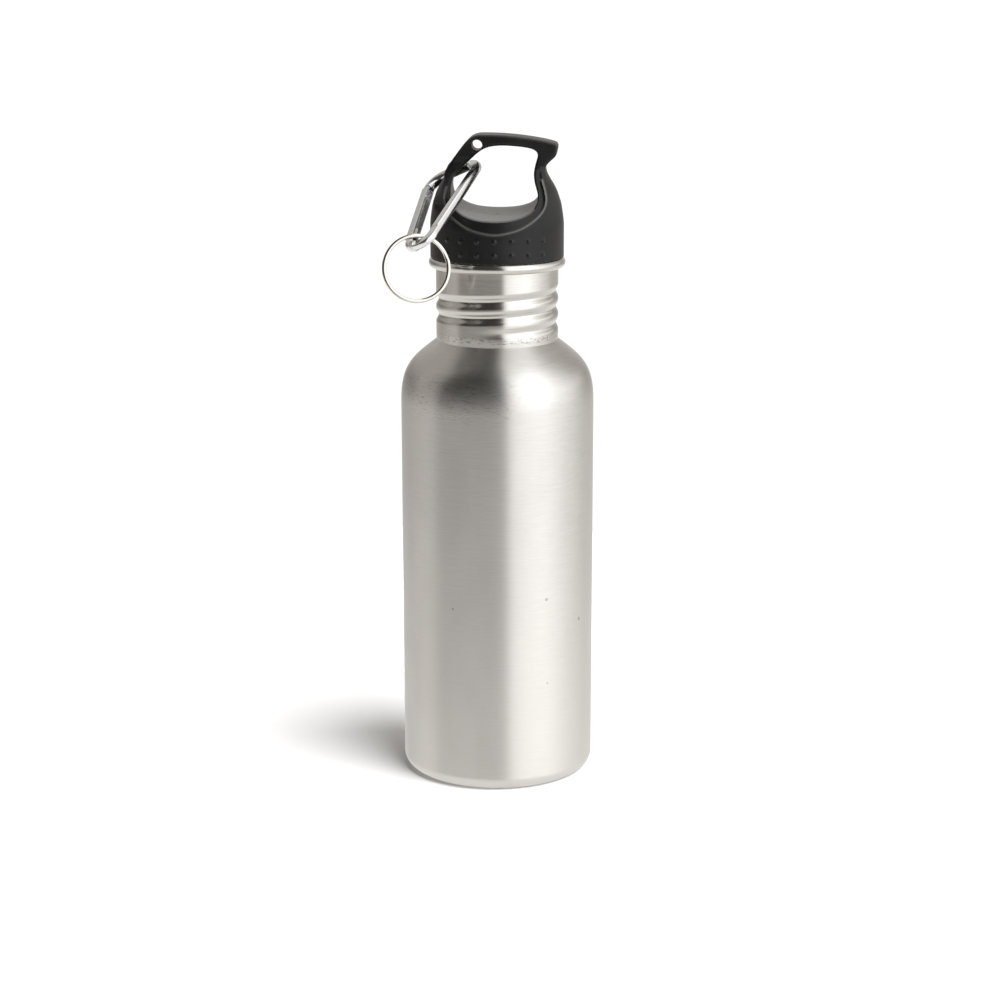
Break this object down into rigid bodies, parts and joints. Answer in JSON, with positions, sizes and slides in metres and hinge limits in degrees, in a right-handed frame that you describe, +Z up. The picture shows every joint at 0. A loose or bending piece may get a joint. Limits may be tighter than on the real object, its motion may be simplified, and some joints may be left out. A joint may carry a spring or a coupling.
{
  "type": "water bottle",
  "caption": "Single-wall steel sports bottle with a threaded neck, a screw cap with a finger loop, a snap hook and a split ring.",
  "frame": {"origin": "centre of the bottle's foot, on the surface that it stands on", "axes": "+Z up the bottle's axis towards the cap; the loop's opening faces -Y and +Y; the snap hook hangs on the -X side"},
  "size_m": [0.078, 0.0744, 0.2447],
  "materials": {
    "steel": "fine brushing around the axis, satin",
    "steel_neck": "smoother rolled steel, semi-bright",
    "cap_black": "satin moulded polypropylene",
    "plug_black": "moulded polypropylene",
    "silicone": "soft translucent white",
    "aluminium": "bright tumbled",
    "spring_steel": "bright nickel plate"
  },
  "bodies": {
    "bottle": {"body_shell": "steel", "base_disc": "steel", "neck_collar": "steel_neck"},
    "seal": {"cap_gasket": "silicone"},
    "cap": {"cap_shell": "cap_black", "cap_plug": "plug_black", "plug_disc": "plug_black"},
    "hook": {"carabiner_frame": "aluminium"},
    "gate": {"carabiner_gate": "aluminium", "gate_pin": "aluminium", "gate_spring": "spring_steel"},
    "ring": {"split_ring": "spring_steel"}
  },
  "joints": [
    {"name": "cap_lift", "type": "slide", "parent": "bottle", "child": "seal", "axis": [0, 0, 1], "range_m": [0, 0.0256]},
    {"name": "cap_turn", "type": "hinge", "parent": "seal", "child": "cap", "pos_m": [0, 0, 0.2], "axis": [0, 0, 1], "range_deg": [0, 1530]},
    {"name": "carabiner_swing", "type": "hinge", "parent": "cap", "child": "hook", "pos_m": [-0.015, 0, 0.232], "axis": [0, 1, 0], "range_deg": [0, 40]},
    {"name": "gate_open", "type": "hinge", "parent": "hook", "child": "gate", "pos_m": [-0.03078, -0.02805, 0.20872], "axis": [0.5166, 0.2621, -0.8151], "range_deg": [0, 0.5], "stiffness_Nm_per_rad": 0.02, "springref_deg": -17.19},
    {"name": "ring_swing", "type": "hinge", "parent": "hook", "child": "ring", "pos_m": [-0.03106, -0.0318, 0.20734], "axis": [-0.1942, 0.963, 0.1866], "range_deg": [0, 60]}
  ],
  "couplings": [
    {"joint": "cap_lift", "follows": "cap_turn", "m_per_rad": 0.00095493}
  ]
}
